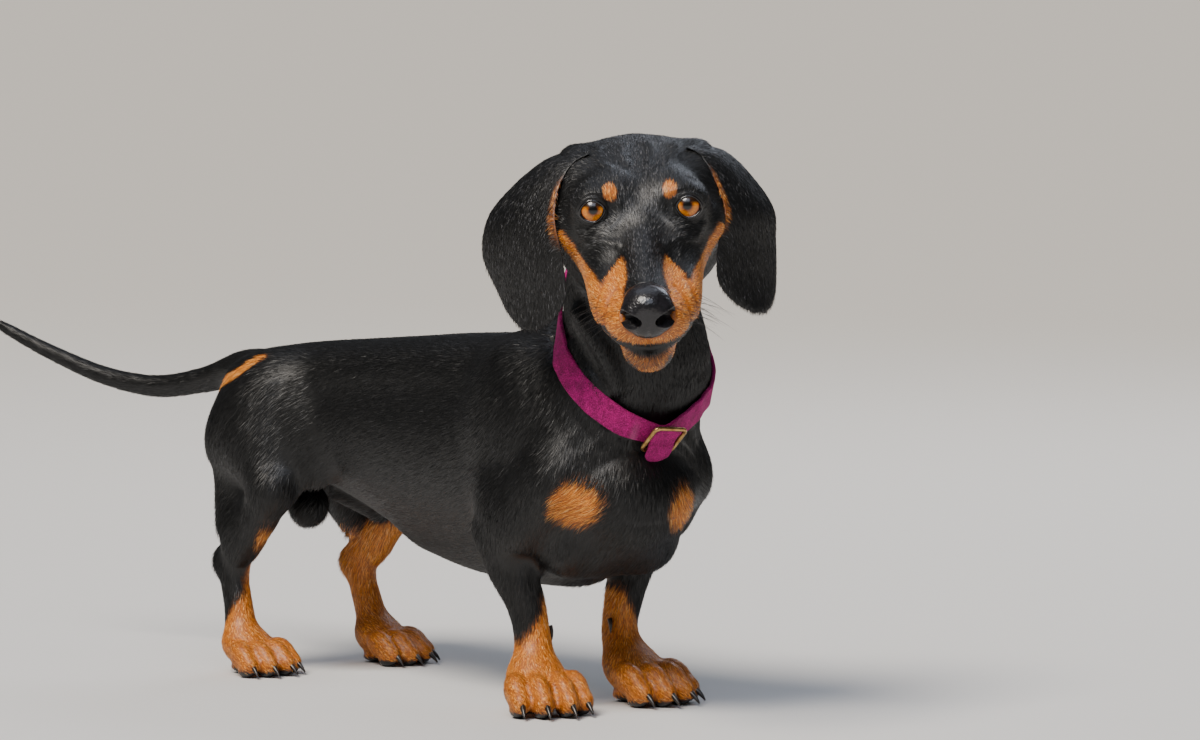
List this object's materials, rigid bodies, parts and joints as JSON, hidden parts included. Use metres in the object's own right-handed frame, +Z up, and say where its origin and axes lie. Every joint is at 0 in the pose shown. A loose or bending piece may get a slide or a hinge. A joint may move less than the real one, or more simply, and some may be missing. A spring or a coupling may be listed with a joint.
{
  "type": "dachshund",
  "caption": "Standing smooth-haired dachshund with its head turned to look aside and a buckled collar, as a still life-size model",
  "frame": {"origin": "on the floor, below the middle of the whole model's box", "axes": "+X forward along the pelvis, tail towards -X, +Y to the dog's left, +Z up"},
  "size_m": [0.6854, 0.2356, 0.3454],
  "materials": {
    "black_coat": "short glossy black hair with a grey-blue sheen",
    "tan_coat": "short rich tan hair",
    "nose_leather": "moist pebbled black nose",
    "eye": "wet amber-brown eye",
    "claw": "dark smooth horn",
    "strap": "magenta felted strap",
    "buckle": "satin brass wire frame"
  },
  "bodies": {
    "root": {"head": "black_coat", "neck": "black_coat", "trunk": "black_coat", "tail": "black_coat", "ear_left": "black_coat", "ear_right": "black_coat", "foreleg_left": "black_coat", "foreleg_right": "black_coat", "hindleg_left": "black_coat", "hindleg_right": "black_coat", "lower_jaw": "tan_coat", "forepaw_left": "tan_coat", "forepaw_right": "tan_coat", "hindpaw_left": "tan_coat", "hindpaw_right": "tan_coat", "nose": "nose_leather", "eye_left": "eye", "eye_right": "eye", "claw_fore_left_1": "claw", "claw_fore_left_2": "claw", "claw_fore_left_3": "claw", "claw_fore_left_4": "claw", "claw_fore_left_dew": "claw", "claw_fore_right_1": "claw", "claw_fore_right_2": "claw", "claw_fore_right_3": "claw", "claw_fore_right_4": "claw", "claw_fore_right_dew": "claw", "claw_hind_left_1": "claw", "claw_hind_left_2": "claw", "claw_hind_left_3": "claw", "claw_hind_left_4": "claw", "claw_hind_right_1": "claw", "claw_hind_right_2": "claw", "claw_hind_right_3": "claw", "claw_hind_right_4": "claw", "collar_strap": "strap", "collar_tongue": "strap", "collar_buckle": "buckle"}
  },
  "joints": []
}
